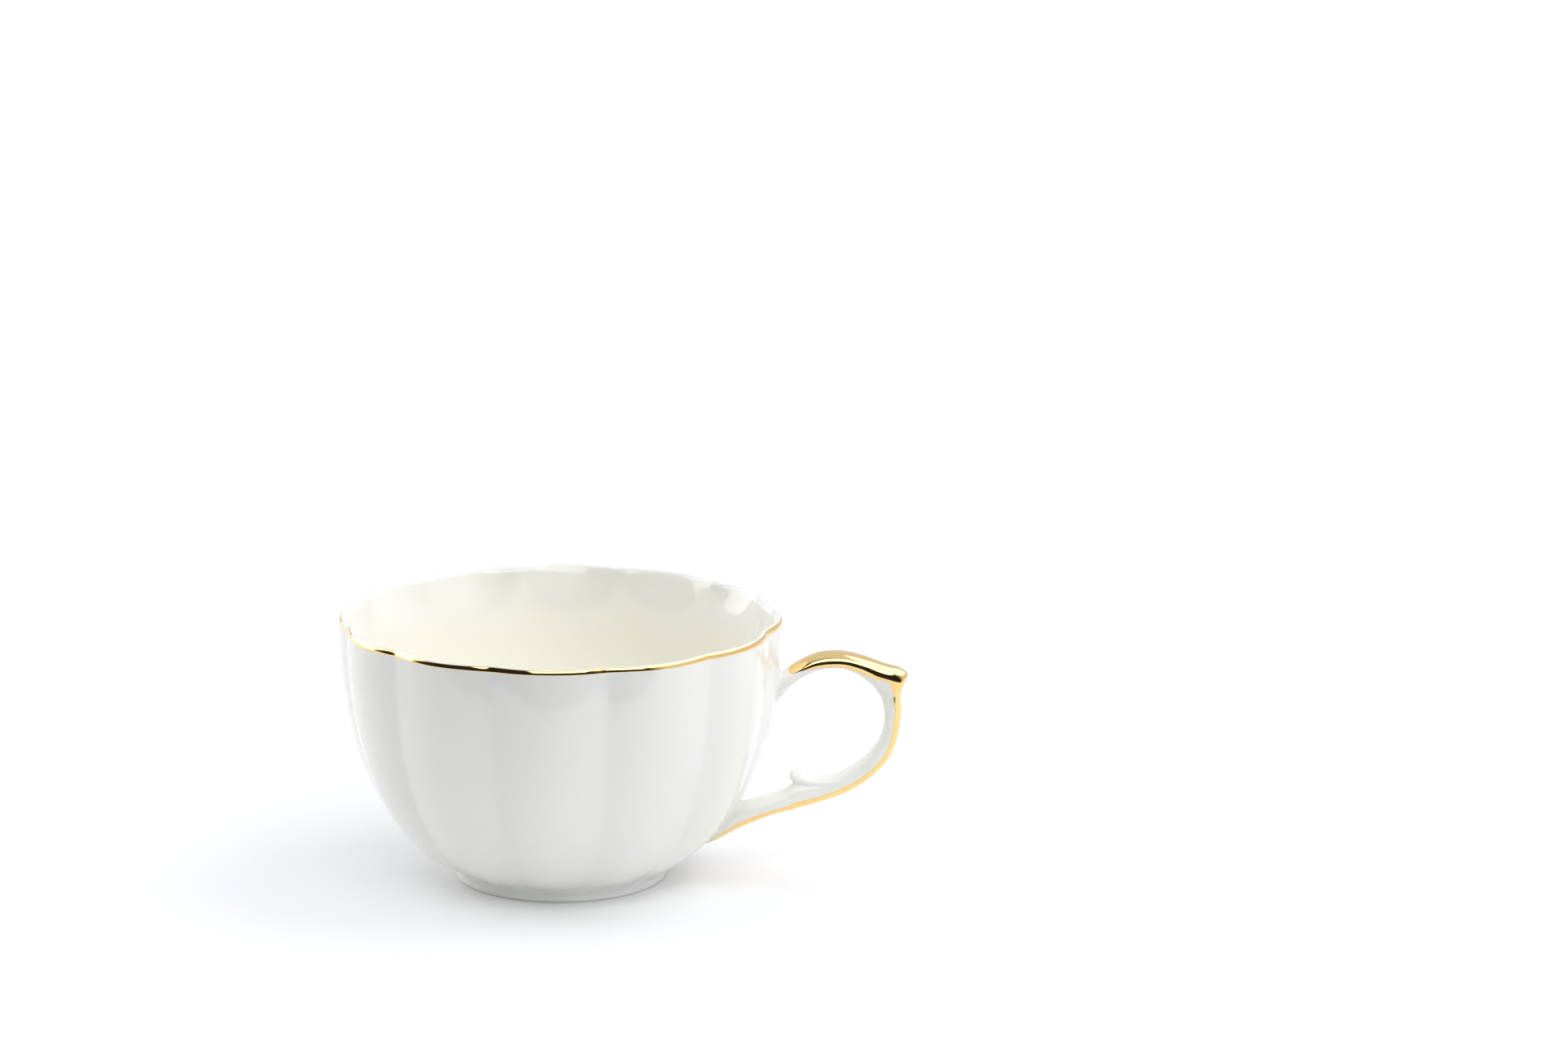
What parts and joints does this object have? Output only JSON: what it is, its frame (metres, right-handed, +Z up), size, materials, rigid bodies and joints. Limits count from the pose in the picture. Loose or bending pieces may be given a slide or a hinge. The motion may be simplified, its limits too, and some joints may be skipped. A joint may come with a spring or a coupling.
{
  "type": "teacup",
  "caption": "Fluted porcelain teacup with a scalloped gilded rim, a low foot ring and a gilded C-scroll handle with a thumb leaf and a spur.",
  "frame": {"origin": "centre of the foot where it stands, on the bowl's axis", "axes": "+Z up along the bowl's axis, +X out along the middle of the handle, +Y to the left seen from the handle's side"},
  "size_m": [0.1229, 0.0958, 0.0577],
  "materials": {
    "bowl_glaze": "gloss",
    "foot_glaze": "gloss",
    "handle_glaze": "gloss",
    "rim_gold": "polished",
    "handle_gold": "polished"
  },
  "bodies": {
    "root": {"bowl": "bowl_glaze", "foot_ring": "foot_glaze", "handle": "handle_glaze", "upper_slip_joint": "handle_glaze", "lower_slip_joint": "handle_glaze", "rim_gilding": "rim_gold", "crest_gilding": "handle_gold", "spine_gilding": "handle_gold"}
  },
  "joints": []
}
